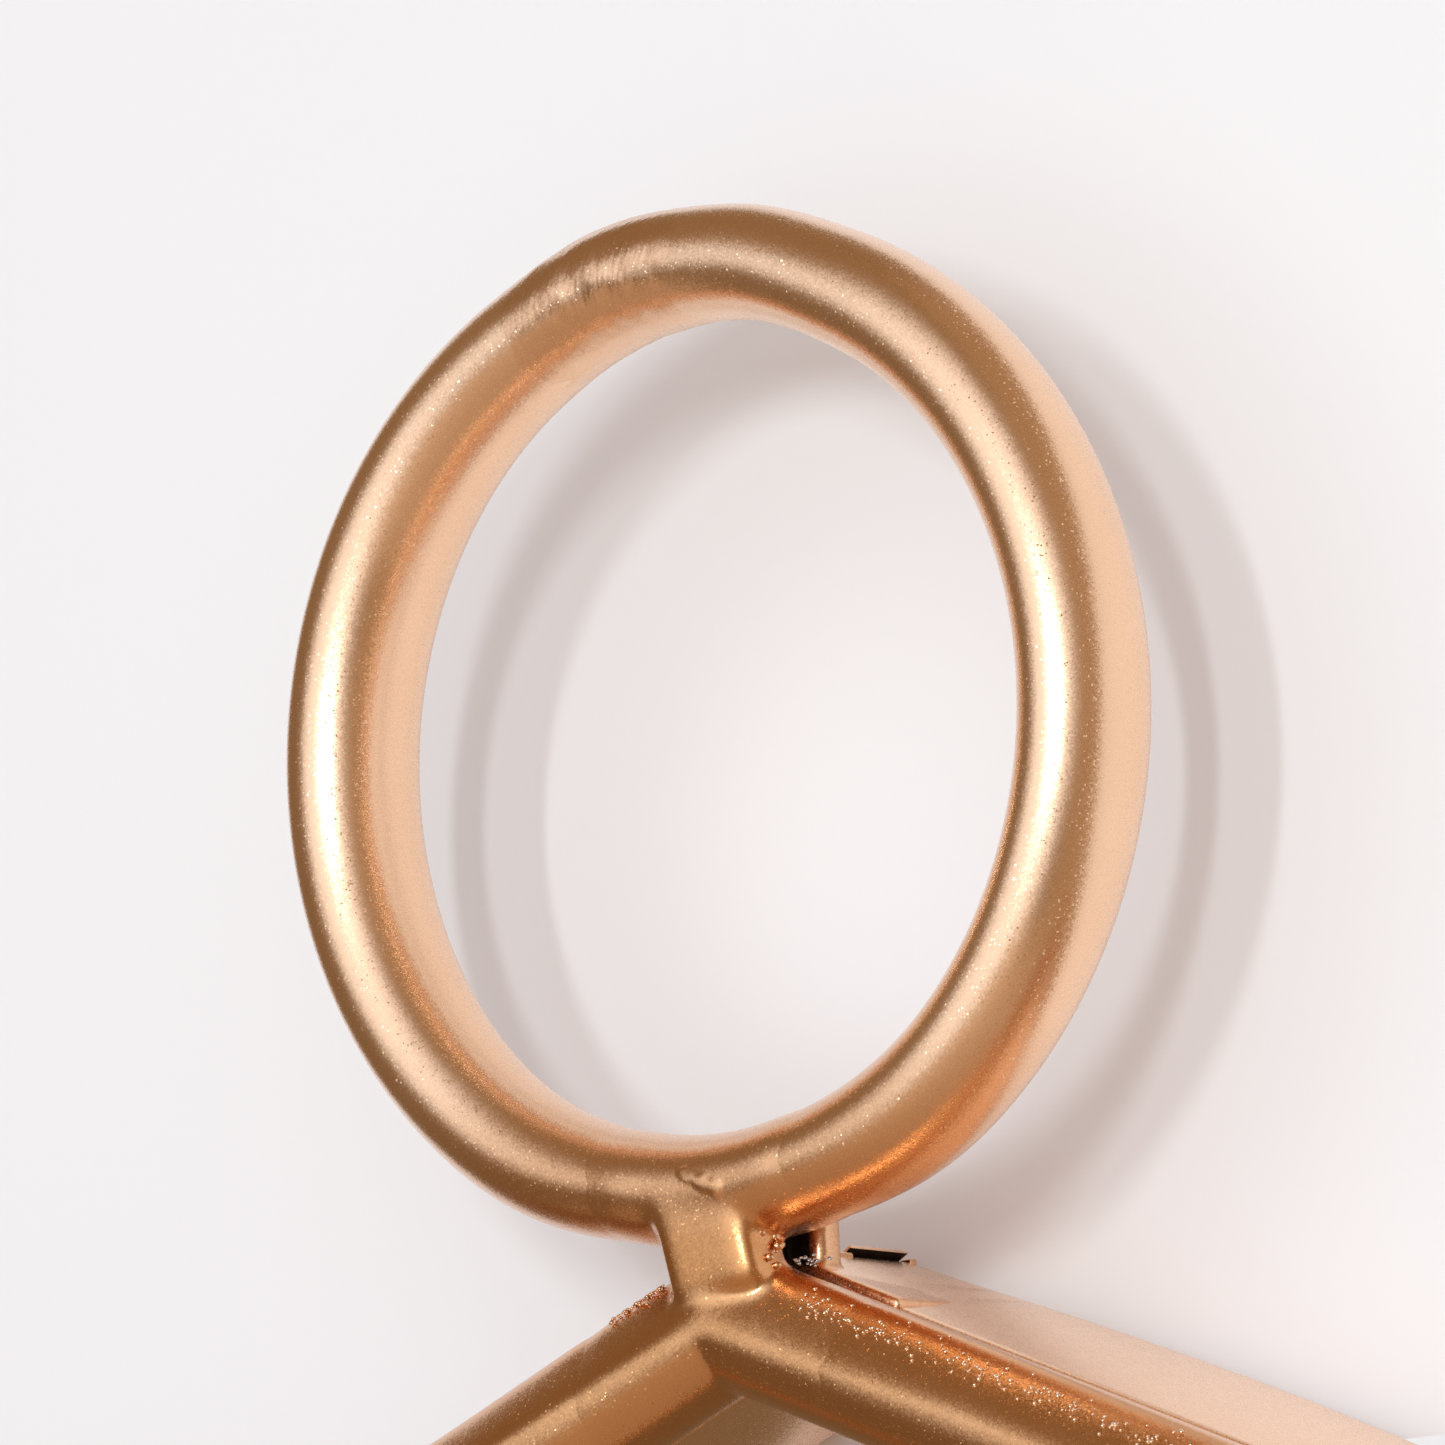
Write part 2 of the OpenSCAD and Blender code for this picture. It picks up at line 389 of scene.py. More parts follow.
def dark_steel():
    """Mild steel inside the tubes, which no paint reached: mill scale, dull and nearly black. It is
    also painted shade in the open seam and in the hollow behind the ring's foot.
    """
    material, tree, shader = new_material("mill_scale_steel_and_painted_shade")
    place = add_node(tree, "ShaderNodeTexCoord").outputs["Object"]
    scale = add_node(tree, "ShaderNodeTexNoise", {
        "Vector": place, "Scale": 1 / scale_patch, "Detail": 4,
    })
    tone = add_node(tree, "ShaderNodeMix", {
        "Factor": scale.outputs["Fac"], "A": linear("#1E1713"), "B": linear("#352A22"),
    }, data_type="RGBA")
    tree.links.new(tone.outputs["Result"], shader.inputs["Base Color"])
    dull = add_node(tree, "ShaderNodeMapRange", {
        "Value": scale.outputs["Fac"], "To Min": 0.7, "To Max": 0.5,
    })
    tree.links.new(dull.outputs["Result"], shader.inputs["Roughness"])
    flaky = add_node(tree, "ShaderNodeBump", {
        "Height": scale.outputs["Fac"], "Distance": scale_depth,
    })
    tree.links.new(flaky.outputs["Normal"], shader.inputs["Normal"])
    shader.inputs["Metallic"].default_value = 0.6
    return material


def bright_steel():
    """Bare weld metal that the spray missed: grey and shiny, with a faint bloom of oxide."""
    material, tree, shader = new_material("bare_weld_steel")
    place = add_node(tree, "ShaderNodeTexCoord").outputs["Object"]
    bloom = add_node(tree, "ShaderNodeTexNoise", {
        "Vector": place, "Scale": 1 / bloom_patch, "Detail": 2,
    })
    tone = add_node(tree, "ShaderNodeMix", {
        "Factor": bloom.outputs["Fac"], "A": linear("#C6C9CC"), "B": linear("#E2E3E4"),
    }, data_type="RGBA")
    tree.links.new(tone.outputs["Result"], shader.inputs["Base Color"])
    gloss = add_node(tree, "ShaderNodeMapRange", {
        "Value": bloom.outputs["Fac"], "To Min": 0.42, "To Max": 0.28,
    })
    tree.links.new(gloss.outputs["Result"], shader.inputs["Roughness"])
    shader.inputs["Metallic"].default_value = 1
    return material


mill_scale_and_shade = dark_steel()
bare_steel = bright_steel()


# The bent ring

def hoop(grow, first, sweep, steps, sides=RING_SIDES):
    """Part of the ring's oval tube, grown all round. First is an angle from +X towards the foot."""
    deselect_all()
    bpy.ops.mesh.primitive_circle_add(
        vertices=sides, radius=1,
        location=(ring_r * math.cos(first), 0, ring_z - ring_r * math.sin(first)),
        rotation=(0, first, 0),
    )
    piece = bpy.context.object
    piece.scale = (ring_radial / 2 + grow, ring_axial / 2 + grow, 1)
    settle()
    bpy.ops.object.mode_set(mode="EDIT")
    bpy.ops.mesh.select_all(action="SELECT")
    bpy.ops.mesh.spin(steps=steps, angle=-sweep, center=(0, 0, ring_z), axis=(0, 1, 0))
    bpy.ops.object.mode_set(mode="OBJECT")
    close_ends(piece)
    return piece


foot_press = 1.2 * MM
foot_flat = 8 * MM
foot_end = 27 * MM
# Share of the press that the inside of the ring is spared
foot_spared = 0.5


def press_foot(piece):
    """Presses the ring's foot a little flat, where it was clamped on the top corner."""
    for vertex in piece.data.vertices:
        if vertex.co.z < ring_z:
            share = 1 - ramp(abs(vertex.co.x), foot_flat, foot_end)
            inside = ramp(vertex.co.z, ring_low.z, ring_low.z + ring_radial)
            vertex.co.z += foot_press * share * (1 - foot_spared * inside)


peak_height = 0.62 * MM
peak_x = -0.5 * MM
peak_flat = 6 * MM
peak_end = 18 * MM


def peak_top(piece):
    """Lifts the ring's top a little, where its two ends meet less round than the rest was bent."""
    for vertex in piece.data.vertices:
        if vertex.co.z > ring_z:
            away = abs(vertex.co.x - peak_x)
            vertex.co.z += peak_height * (1 - ramp(away, peak_flat, peak_end))


ring = hoop(0, 0, 2 * math.pi, RING_STEPS)
press_foot(ring)
peak_top(ring)
smooth(ring)
dress(ring, "bent_ring", ring_paint_shaded_foot, "gold_paint", "hanging_ring")


# The butt weld that closes the ring, ground by hand across the tube

seam_angle = math.radians(101)
seam_reach = 12 * MM
seam_height = 0.2 * MM
# The ends of the seam lie this far inside the ring
seam_sink = 0.04 * MM
# Its edges wander along the ring
edge_wander = 0.8 * MM
edge_wave = 2.1 * MM
seam_lump = 0.11 * MM
seam_lump_size = 2.6 * MM
scratch_depth = 0.022 * MM
scratch_width = 0.26 * MM
scratch_length = 1.6 * MM
scratch_slant = 0.4
# Places in the noise that give the lumps and the scratches their own draws
lump_draw = 3.1
scratch_draw = 7.7
seam_steps = 190
seam_sides = 180


def seam_swell(co):
    """Height of the ground weld over the ring: lumps and fibres in the middle, sunk at its ends."""
    angle = math.atan2(co.z - ring_z, co.x)
    along = (angle - seam_angle) * ring_r
    across = math.atan2(co.y, math.hypot(co.x, co.z - ring_z) - ring_r) * ring_axial / 2
    away = abs(along + edge_wander * math.sin(across / edge_wave))
    share = 1 - ramp(away, seam_reach / 4, seam_reach)
    lumps = noise.noise(Vector((along / seam_lump_size, across / seam_lump_size, lump_draw)))
    slanted = (along + scratch_slant * across) / scratch_width
    fibres = noise.noise(Vector((slanted, across / scratch_length, scratch_draw)))
    return share * (seam_height + seam_lump * lumps + scratch_depth * fibres) - seam_sink


seam_half_sweep = 1.1 * seam_reach / ring_r
seam = hoop(0, -seam_angle - seam_half_sweep, 2 * seam_half_sweep, seam_steps, seam_sides)
swell(seam, seam_swell)
peak_top(seam)
smooth(seam, 60)
dress(seam, "ring_seam", seam_paint, "painted_weld", "ring_seam_weld")


# The front rim: straight round tube, and a smooth dressed mitre at each corner

elbow_reach = 14 * MM
elbow_slice = 3 * MM
mitre_round = 2.2 * MM


def side_frame(turn):
    """Frame of one side: +X outwards, +Y to the back, +Z towards the corner before it."""
    first_side = Matrix.Rotation(half_turn - math.pi / 2, 4, "Y")
    return around_frame(turn) @ Matrix.Translation((0, 0, frame_z)) @ first_side \
        @ Matrix.Translation((apothem, 0, 0))


flat_angle = math.radians(47)
flat_turn = math.radians(10)
flat_out = tube_r * math.cos(math.radians(29))
flat_round = 1.2 * MM
# Points further round the tube than this are not looked at
flat_reach = math.radians(70)
# Distances from the corner between which the flat turns back
flat_turned = 2 * MM
flat_straight = 34 * MM


def flat_facing(along):
    """Where the flat faces at a place along a side, from the rim's outside towards its front: more
    so at the corners."""
    return flat_angle + flat_turn * (1 - ramp(half_side - abs(along), flat_turned, flat_straight))


def dress_flat(piece, turn):
    """Flattens a front tube a little on its outer front side, where its welds were dressed."""
    place = side_frame(turn)
    back = place.inverted()
    for vertex in piece.data.vertices:
        co = back @ vertex.co
        angle = math.atan2(-co.y, co.x) - flat_facing(co.z)
        if abs(angle) < flat_reach:
            radius = math.hypot(co.x, co.y)
            flat = flat_out / math.cos(angle)
            near = max(flat_round - abs(radius - flat), 0) / flat_round
            share = (min(radius, flat) - near * near * flat_round / 4) / radius
            vertex.co = place @ Vector((co.x * share, co.y * share, co.z))


def tube_elbow(reach):
    """The mitre of two round tubes at the top corner."""
    deselect_all()
    bpy.ops.mesh.primitive_cylinder_add(
        vertices=TUBE_SIDES, radius=tube_r, depth=2 * reach, end_fill_type="NOTHING",
        location=apex, rotation=(0, math.pi / 2 + half_turn, 0),
    )
    piece = bpy.context.object
    settle()
    slice_up(piece, apex, side_run, [step * elbow_slice for step in range(1, 6)])
    dress_flat(piece, 0)
    return halved(piece)


elbow = tube_elbow(elbow_reach)
select_vertices(elbow, lambda co: abs(co.x) < merge_distance)
bpy.ops.mesh.bevel(offset=mitre_round, segments=10, affect="EDGES")
bpy.ops.object.mode_set(mode="OBJECT")
close_ends(elbow)
elbows = [moved_copy(elbow, around_frame(turn)) for turn in range(1, len(SIDES))]
bpy.data.objects.remove(elbow)
elbow = join(elbows)
smooth(elbow)
dress(elbow, "front_corners", rim_paint_darkened_for_shade, "painted_weld", "front_corner_welds")


# The top corner: the mitre and the ring's foot flow together in the front weld

skin = 0.12 * MM
plug_size = Vector((9.8, 6.2, 11.6)) * MM
plug_round = 1.4 * MM
plug_lean = math.radians(8)
plug_yaw = math.radians(3)
plug_tilt = math.radians(-8)
plug_place = Vector((0.8, -3.2, -79.9)) * MM
spot_start = Vector((0.2, -6.9, -74.9)) * MM
spot_end = Vector((3.8, -6.8, -76.6)) * MM
spot_r = 0.9 * MM
spot_height = 0.16 * MM
spot_ragged = 0.3
spot_grain = 0.9 * MM

# The stretch of the ring that goes into the welds, and where it is grown
foot_start = math.radians(64)
foot_sweep = math.radians(52)
foot_steps = 90
foot_grown = 7 * MM
foot_bare = 14 * MM
# What melting takes off the ring
foot_allowance = 0.34 * MM

# The mitre that goes into the front weld is longer than the others, and its ends are drawn in
corner_longer = 3 * MM
corner_full = 13.5 * MM
corner_tucked = 15.5 * MM

weld_voxel = 0.25 * MM
front_rounds = 30
rear_rounds = 22
melt_inner = 7 * MM
melt_outer = 11 * MM
melt_rounds = 90


def ring_foot(allowance):
    """The lowest stretch of the ring: a skin's thickness inside it at its ends, and grown in the
    middle by what melting will take off."""
    piece = hoop(-skin, foot_start, foot_sweep, foot_steps)
    press_foot(piece)
    swell(piece, lambda co: allowance * (1 - ramp(abs(co.x), foot_grown, foot_bare)))
    return piece


def spot_swell(co):
    """Height of the small hard ridge of weld along the top of the plug, with an uneven edge."""
    run = spot_end - spot_start
    share = min(max((co - spot_start).dot(run) / run.length_squared, 0), 1)
    away = (co - spot_start - run * share).length / spot_r
    away += spot_ragged * noise.noise(co / spot_grain)
    return spot_height * (1 - ramp(away, 0.2, 1))


def front_weld():
    """The weld plug between the ring's foot and the top corner: a block of metal with a flat,
    leaning face."""
    turn = Matrix.Rotation(plug_lean, 4, "X") @ Matrix.Rotation(plug_yaw, 4, "Z") \
        @ Matrix.Rotation(plug_tilt, 4, "Y")
    plug = block(plug_size, plug_round, Matrix.Translation(plug_place) @ turn)
    corner = tube_elbow(elbow_reach + corner_longer)
    swell(corner, lambda co: -skin * ramp(abs(co.x), corner_full, corner_tucked))
    close_ends(corner)
    piece = fuse([plug, ring_foot(foot_allowance), corner], weld_voxel, front_rounds)
    melt(piece, plug_place, melt_inner, melt_outer, melt_rounds)
    swell(piece, spot_swell)
    piece.data.materials.clear()
    piece.data.materials.append(ring_paint_shaded_foot)
    piece.data.materials.append(rim_paint_darkened_for_shade)
    # Faces on the tubes take the darker paint, which is painted shade; the rest takes the ring's
    # paint
    for face in piece.data.polygons:
        from_apex = Vector((abs(face.center.x), face.center.y, face.center.z - apex_z))
        off_axis = (from_apex - side_run * from_apex.dot(side_run)).length
        face.material_index = int(off_axis < tube_r + skin)
    return piece


plug = front_weld()
smooth(plug, 70)
dress(plug, "front_weld", ring_paint_shaded_foot, "painted_weld", "ring_front_weld")


tuck_share = 0.018
tuck_length = 2 * MM
tube_slice = 4 * MM


def tuck_ends(piece, turn):
    """Draws a straight tube's ends in, so that they lie under the corners' skin."""
    place = side_frame(turn)
    back = place.inverted()
    for vertex in piece.data.vertices:
        co = back @ vertex.co
        from_corner = half_side - abs(co.z)
        share = 1 - tuck_share * (1 - ramp(from_corner, elbow_reach, elbow_reach + tuck_length))
        vertex.co = place @ Vector((co.x * share, co.y * share, co.z))


for turn, side in enumerate(SIDES):
    deselect_all()
    bpy.ops.mesh.primitive_cylinder_add(
        vertices=TUBE_SIDES, radius=tube_r, depth=2 * (half_side - elbow_reach),
        location=apex + side_run * half_side,
        rotation=(0, math.pi / 2 + half_turn, 0),
    )
    tube = bpy.context.object
    settle()
    slice_up(tube, apex, side_run, [half_side + end * (half_side - step * tube_slice)
                                    for step in range(4, 10) for end in (1, -1)])
    tube.data.transform(around_frame(turn))
    dress_flat(tube, turn)
    tuck_ends(tube, turn)
    smooth(tube)
    dress(tube, "round_tube_" + side, rim_paint_darkened_for_shade, "gold_paint", "front_tube_" + side)


# The rear rim: box tube on edge behind the round tube

def box_bar():
    """One mitred box tube, in its side's own frame."""
    deselect_all()
    bpy.ops.mesh.primitive_cube_add(size=1, location=(bar_mid, (bar_low.y + bar_high.y) / 2, 0))
    piece = bpy.context.object
    piece.scale = (bar_thickness, bar_depth, 2 * half_side + 2 * bar_depth)
    settle()
    bpy.ops.object.mode_set(mode="EDIT")
    bpy.ops.mesh.select_all(action="SELECT")
    bpy.ops.mesh.select_mode(type="FACE")
    bpy.ops.mesh.select_all(action="DESELECT")
    bpy.ops.object.mode_set(mode="OBJECT")
    for face in piece.data.polygons:
        face.select = abs(face.normal.z) > 0.5
    bpy.ops.object.mode_set(mode="EDIT")
    bpy.ops.mesh.delete(type="FACE")
    bpy.ops.mesh.select_all(action="SELECT")
    bpy.ops.mesh.bevel(offset=bar_corner_r, segments=6, affect="EDGES")
    for end in (1, -1):
        bpy.ops.mesh.select_all(action="SELECT")
        bpy.ops.mesh.bisect(
            plane_co=(0, 0, end * (half_side - root_gap / 2 / math.cos(half_turn))),
            plane_no=(-math.sin(half_turn), 0, end * math.cos(half_turn)),
            clear_outer=True,
        )
    bpy.ops.mesh.select_all(action="SELECT")
    bpy.ops.mesh.normals_make_consistent(inside=False)
    bpy.ops.object.mode_set(mode="OBJECT")
    piece.data.materials.append(paint)
    # The insides take the nearly black steel: mill scale, and painted shade where they show
    piece.data.materials.append(mill_scale_and_shade)
    apply_modifier(piece, "SOLIDIFY", thickness=bar_wall, offset=-1, material_offset=1)
    return piece


roll_rise = 1.7 * MM
roll_drop = 0.9 * MM
roll_slice = 4 * MM
# Distances from the top corner at which the back edge is up, and between which it comes down again
roll_up = 48 * MM
roll_down = (40 * MM, 130 * MM)
# Distances between which the front edge sinks, and comes back
sink_start = (2 * MM, 12 * MM)
sink_stop = (60 * MM, 150 * MM)


def roll(piece):
    """Rolls the bar a little on its length between its welded ends: its back edge up, its front
    edge down."""
    slice_up(piece, Vector((0, 0, half_side)), Vector((0, 0, -1)),
             [step * roll_slice for step in range(1, 41)])
    for vertex in piece.data.vertices:
        from_corner = half_side - vertex.co.z
        bent = 1 - (1 - min(max(from_corner / roll_up, 0), 1)) ** 2
        share = bent * (1 - ramp(from_corner, *roll_down))
        sunk = ramp(from_corner, *sink_start) * (1 - ramp(from_corner, *sink_stop))
        back = (vertex.co.y - bar_low.y) / bar_depth
        vertex.co.x += share * roll_rise * back - sunk * roll_drop * (1 - back)


bar = box_bar()
for turn, side in enumerate(SIDES):
    copy = moved_copy(bar, Matrix())
    if side == "top_right":
        roll(copy)
    copy.data.transform(side_frame(turn))
    smooth(copy)
    dress(copy, "box_bar_" + side, paint, "gold_paint", "rear_bar_" + side)
bpy.data.objects.remove(bar)


# The bead behind the ring's foot, and the hollow that it closes: burnt bare steel, nearly black,
# which also paints the hollow's shade

web_round = 1.2 * MM
column_size = Vector((8.8, 3.4, 8.0)) * MM
column_place = Vector((0.4 * MM, (web_low.y + web_high.y) / 2 + 0.4 * MM, web_low.z + 1.4 * MM))
root_size = Vector((6.4, 7.0, 6.0)) * MM
root_place = Vector((-1.6 * MM, 2.6 * MM, web_low.z + 0.6 * MM))
# Weld further left and further forward than this is in the hollow, where no paint reached: it takes
# the nearly black steel, which also paints the hollow's shade
hollow_mouth = 3.4 * MM
hollow_depth = 0.6 * MM
elbow_length = 16 * MM
elbow_depth = 9 * MM


def bar_elbow(depth):
    """The mitre of the two box tubes at the top corner, solid, a skin's thickness inside them."""
    size = Vector((bar_thickness - 2 * skin, depth, elbow_length))
    middle = Vector((bar_mid, bar_low.y + skin + depth / 2, half_side - elbow_length / 4))
    return halved(block(size, 0.4 * MM, side_frame(0) @ Matrix.Translation(middle)))


def rear_weld():
    """A short column of weld from the ring's back down to the box tubes, hollowed at its sides."""
    column = block(column_size, web_round, Matrix.Translation(column_place))
    root = block(root_size, web_round, Matrix.Translation(root_place))
    piece = fuse([column, root, ring_foot(0), bar_elbow(elbow_depth)], weld_voxel, rear_rounds)
    piece.data.materials.clear()
    piece.data.materials.append(weld_paint)
    piece.data.materials.append(mill_scale_and_shade)
    for face in piece.data.polygons:
        if face.center.y < bar_low.y + hollow_depth and face.center.x < hollow_mouth:
            face.material_index = 1
    return piece


web = rear_weld()
smooth(web, 70)
dress(web, "rear_weld", weld_paint, "painted_weld", "ring_rear_weld")


# Welds in the mitres of the rear rim, and the seam left open at the back of the top corner

band_width = 1.5 * MM
band_round = 0.3 * MM
seam_front_y = bar_high.y - 9 * MM
seam_back_y = bar_high.y - 0.9 * MM
lip_out = 0.35 * MM
lip_length = 5.2 * MM
lip_rise = 0.95 * MM
lip_thickness = 0.32 * MM
lip_round = 0.1 * MM
shade_block_size = 2.6 * MM
shade_block_x = -1.9 * MM
shade_block_z = ridge_z + lip_rise - 2 * MM


def corner_band(front_y, back_y):
    """The weld round the box tubes' mitre at the top corner, between two depths."""
    height = (bar_thickness + 2 * weld_crown) / math.cos(half_turn)
    middle_z = frame_z + (apothem + bar_mid) / math.cos(half_turn)
    middle = Vector((0, (front_y + back_y) / 2, middle_z))
    return block(Vector((band_width, back_y - front_y, height)), band_round,
                 Matrix.Translation(middle))


def open_seam():
    """The lip of the left box tube, sprung up over the seam, and a nearly black block under it:
    painted shade in the open seam.
    """
    middle_y = (seam_front_y + seam_back_y) / 2
    width = seam_back_y - seam_front_y
    start_z = ridge_z - (lip_length - lip_out) * math.tan(half_turn)
    start = Vector((lip_out - lip_length, middle_y, start_z))
    end = Vector((lip_out, middle_y, ridge_z + lip_rise))
    slope = math.atan2(end.z - start.z, end.x - start.x)
    place = Matrix.Translation((start + end) / 2 - Vector((0, 0, lip_thickness / 2)))
    lip = block(Vector(((end - start).length, width, lip_thickness)), lip_round,
                place @ Matrix.Rotation(-slope, 4, "Y"))
    lip.data.materials.append(paint)
    lip.data.materials.append(mill_scale_and_shade)
    # Painted shade: the lip's underside is nearly black, as bare steel and as the shade in the seam
    for face in lip.data.polygons:
        face.material_index = int(face.normal.z < -0.3)
    # Painted shade: a nearly black block under the lip, where the seam is only in shade
    shade_block = block(Vector((shade_block_size, width, shade_block_size)), lip_round,
                Matrix.Translation((shade_block_x, middle_y, shade_block_z)))
    shade_block.data.materials.append(mill_scale_and_shade)
    return lip, shade_block


bands = [corner_band(bar_low.y, bar_high.y)]
bands[0].data.materials.append(weld_paint)
bands += [moved_copy(bands[0], around_frame(turn)) for turn in range(1, len(SIDES))]
bpy.data.objects.remove(bands.pop(0))
for front_y, back_y in ((bar_low.y, seam_front_y), (seam_back_y, bar_high.y)):
    bands.append(corner_band(front_y, back_y))
    bands[-1].data.materials.append(weld_paint)
bands = join(bands + list(open_seam()))
smooth(bands)
dress(bands, "rear_corners", weld_paint, "painted_weld", "rear_corner_welds")


# Stitch beads between the two rims

stitch_r = 1.6 * MM
stitch_half = 8.1 * MM
stitch_from_corner = 19 * MM
stitch_seat = 0.6 * stitch_r
stitch_y = bar_low.y - stitch_seat
# The beads lie this much deeper in the groove than their seat
stitch_deeper = 1.1 * MM
stitch_x = math.sqrt((tube_r + stitch_seat) ** 2 - stitch_y ** 2) - stitch_deeper
ripple_pitch = 1.5 * MM
ripple_height = 0.16 * MM
bead_lump = 0.2 * MM
bead_lump_size = 2.4 * MM


def stitch_bead():
    """One bead along z, with the ripples of its weld pool."""
    deselect_all()
    bpy.ops.mesh.primitive_uv_sphere_add(segments=24, ring_count=64, radius=1)
    piece = bpy.context.object
    piece.scale = (stitch_r, stitch_r, stitch_half)
    settle()
    swell(piece, lambda co: ripple_height * (abs(math.sin(math.pi * co.z / ripple_pitch)) - 0.6)
          + bead_lump * noise.noise(co / bead_lump_size))
    return piece


fill_r = 1.15 * MM
fill_x = tube_r - 1.9 * MM
fill_y = bar_low.y - fill_r
# The paint stops this much short of the corners, both ends together
fill_short = 12 * MM


def paint_fill():
    """Paint that has run into the groove between a round tube and its box tube, along z."""
    deselect_all()
    bpy.ops.mesh.primitive_cylinder_add(
        vertices=24, radius=fill_r, location=(fill_x, fill_y, 0),
        depth=2 * (half_side + fill_x * math.tan(half_turn)) - fill_short,
    )
    piece = bpy.context.object
    settle()
    return piece


fill = paint_fill()
fills = [moved_copy(fill, side_frame(turn)) for turn in range(len(SIDES))]
bpy.data.objects.remove(fill)
fill = join(fills)
smooth(fill)
dress(fill, "paint_fill", rim_paint_darkened_for_shade, "gold_paint")

bead = stitch_bead()
beads = []
for turn in range(len(SIDES)):
    for end in (1, -1):
        place = Matrix.Translation((stitch_x, stitch_y, end * (half_side - stitch_from_corner)))
        own_turn = Matrix.Rotation(random.uniform(0, 2 * math.pi), 4, "Z")
        own_size = Matrix.Diagonal((1, 1, random.uniform(0.88, 1.0), 1))
        beads.append(moved_copy(bead, side_frame(turn) @ place @ own_turn @ own_size))
bpy.data.objects.remove(bead)
beads = join(beads)
smooth(beads, 60)
dress(beads, "stitch_beads", weld_paint, "painted_weld", "rim_stitch_welds")


# Spatter: drops of weld metal that froze on the tubes, painted over

def drop_shape():
    """One drop, of radius 1, with few faces because it is copied often."""
    deselect_all()
    bpy.ops.mesh.primitive_uv_sphere_add(segments=8, ring_count=6, radius=1)
    return bpy.context.object


def drop_at(place, up, size, flat=0.7):
    """Matrix that seats a drop of a radius on a surface with this normal."""
    turn = up.to_track_quat("Z", "Y").to_matrix().to_4x4()
    shape = Matrix.Diagonal((size, size * random.uniform(0.7, 1), flat * size, 1))
    return Matrix.Translation(place) @ turn @ shape


def on_tube(turn, from_corner, angle):
    """A place on a front tube and its normal. The angle runs from the rim's outside to the front."""
    side = side_frame(turn)
    up = Vector((math.cos(angle), -math.sin(angle), 0))
    along = half_side - from_corner
    radius = min(tube_r, flat_out / math.cos(angle - flat_facing(along)))
    place = side @ (up * radius + Vector((0, 0, along)))
    return place, side.to_3x3() @ up


def scattered(spots, name, material):
    """Drops at the spots, each a place, a normal and a radius, as one piece."""
    drop = drop_shape()
    drops = [moved_copy(drop, drop_at(*spot)) for spot in spots]
    bpy.data.objects.remove(drop)
    piece = join(drops)
    smooth(piece, 70)
    dress(piece, name, material, "painted_weld")


# Grit on the outer front side of the right tube
grit = []
for drop in range(230):
    from_corner = (9 + 46 * random.random() ** 1.2) * MM
    place, up = on_tube(0, from_corner, math.radians(random.gauss(38, 8)))
    grit.append((place, up, random.uniform(0.08, 0.22) * MM))
scattered(grit, "spatter_grit", spatter_paint_painted_bright)

# Burrs along the left tube's edge, and larger beads beside the plug
burrs = []
for drop in range(70):
    from_corner = 2 * half_side - (4.5 + 6.5 * random.random() ** 1.4) * MM
    place, up = on_tube(7, from_corner, math.radians(random.gauss(24, 4)))
    burrs.append((place, up, random.uniform(0.08, 0.26) * MM))
for drop in range(8):
    place = Vector((random.uniform(5.9, 6.7), random.uniform(-3.6, -1.6),
                    random.uniform(-83.6, -79.0))) * MM
    burrs.append((place, Vector((0.9, -0.3, 0.2)), random.uniform(0.25, 0.6) * MM))
scattered(burrs, "weld_burrs", weld_paint)

# Specks of bare weld in the mouth of the hollow
specks = []
for drop in range(24):
    place = Vector((random.gauss(5.4, 0.7), random.gauss(3.6, 0.8),
                    random.gauss(-82.5, 0.25))) * MM
    specks.append((place, Vector((0.5, -0.6, 0.6)), random.uniform(0.08, 0.26) * MM, 0.5))
scattered(specks, "bare_specks", bare_steel)


# Camera: a long lens, to the right of the front and a little below the ring

def facing(azimuth, elevation, roll):
    """Turn of a camera that looks at the object from these angles."""
    return Matrix.Rotation(azimuth, 4, "Z") @ Matrix.Rotation(math.pi / 2 - elevation, 4, "X") \
        @ Matrix.Rotation(roll, 4, "Z")


photo_px = 1445
field = 126.4 * MM
camera_distance = 2.055
camera_turn = facing(math.radians(38.44), math.radians(-7.55), math.radians(-2.2))
ring_px = Vector((714, 735))
off_centre = (Vector((photo_px / 2, photo_px / 2)) - ring_px) * field / photo_px
aim = Vector((0, 0, ring_z)) + camera_turn @ Vector((off_centre.x, -off_centre.y, 0))

camera_data = bpy.data.cameras.new("camera")
camera_data.sensor_width = 36
camera_data.lens = camera_data.sensor_width * camera_distance / field
camera = bpy.data.objects.new("camera", camera_data)
eye = aim + camera_turn @ Vector((0, 0, camera_distance))
camera.matrix_world = Matrix.Translation(eye) @ camera_turn
bpy.context.collection.objects.link(camera)
bpy.context.scene.camera = camera


# The white wall, the floor and the light

wall_gap = 3 * MM
wall_left = -112 * MM
wall_right = 300 * MM
wall_top = 48 * MM
wall_bottom = -101 * MM
floor_drop = 60 * MM
floor_width = 1.2
floor_depth = 1.0


def pale_stage(name, colour):
    """Matt emulsion paint: plain, and not there when seen from its back."""
    material, tree, shader = new_material(name)
    shader.inputs["Base Color"].default_value = linear(colour)
    shader.inputs["Roughness"].default_value = 0.9
    shader.inputs["Specular IOR Level"].default_value = 0.1
    clear = add_node(tree, "ShaderNodeBsdfTransparent")
    back = add_node(tree, "ShaderNodeNewGeometry").outputs["Backfacing"]
    seen = add_node(tree, "ShaderNodeMixShader", {
        0: back, 1: shader.outputs[0], 2: clear.outputs[0],
    })
    tree.links.new(seen.outputs[0], tree.nodes["Material Output"].inputs["Surface"])
    return material


